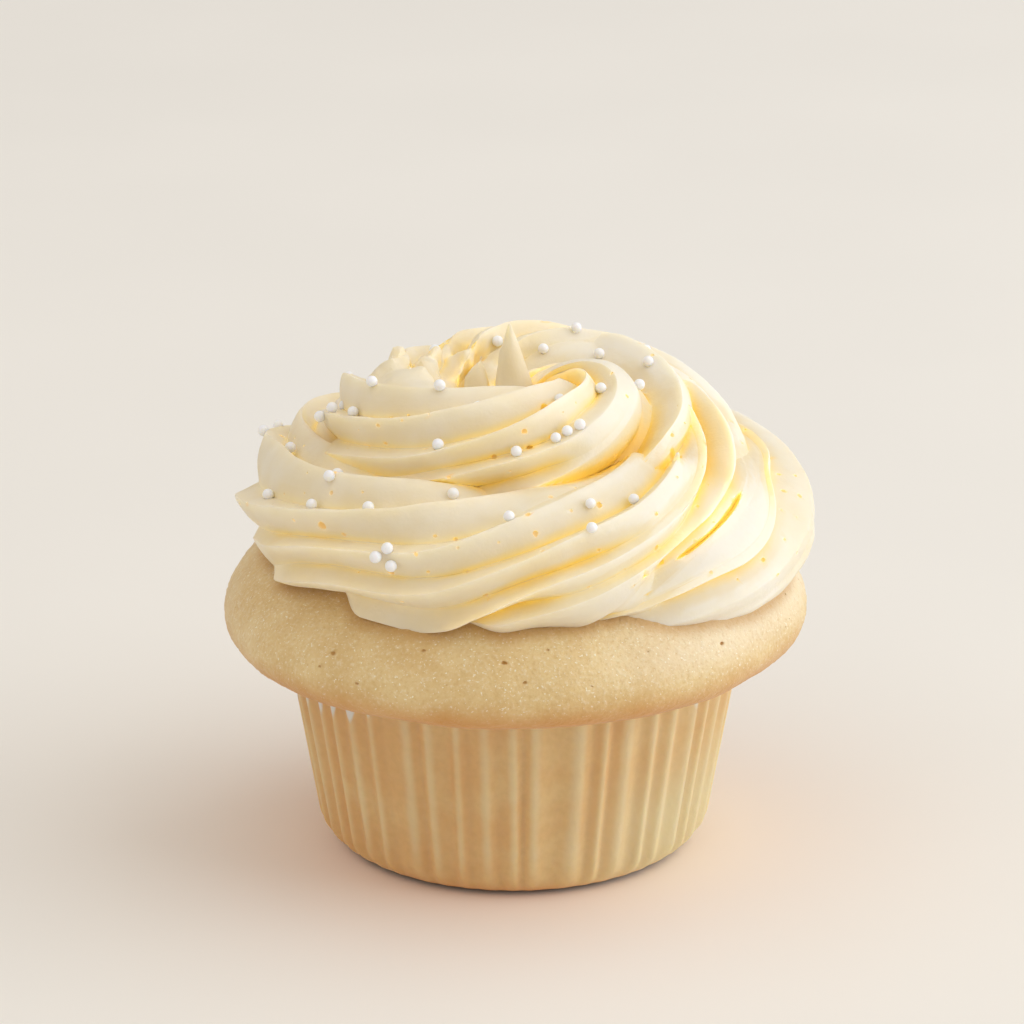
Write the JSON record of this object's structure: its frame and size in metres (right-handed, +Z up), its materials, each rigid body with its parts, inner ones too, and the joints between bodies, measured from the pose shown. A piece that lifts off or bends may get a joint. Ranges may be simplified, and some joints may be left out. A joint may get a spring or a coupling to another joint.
{
  "type": "cupcake",
  "caption": "Vanilla cupcake in a pleated paper case, with a round sponge lip and a star-piped buttercream swirl set with small sugar pearls.",
  "frame": {"origin": "centre of the flat base of the paper case, on the surface that it stands on", "axes": "+Z up through the middle of the swirl; the front that is usually shown faces -Y, and +X is to its right"},
  "size_m": [0.0809, 0.08, 0.0736],
  "materials": {
    "paper_case": "matte",
    "sponge": "matte",
    "buttercream": "satin"
  },
  "bodies": {
    "root": {"paper_case": "paper_case", "sponge": "sponge", "buttercream": "buttercream"}
  },
  "joints": []
}
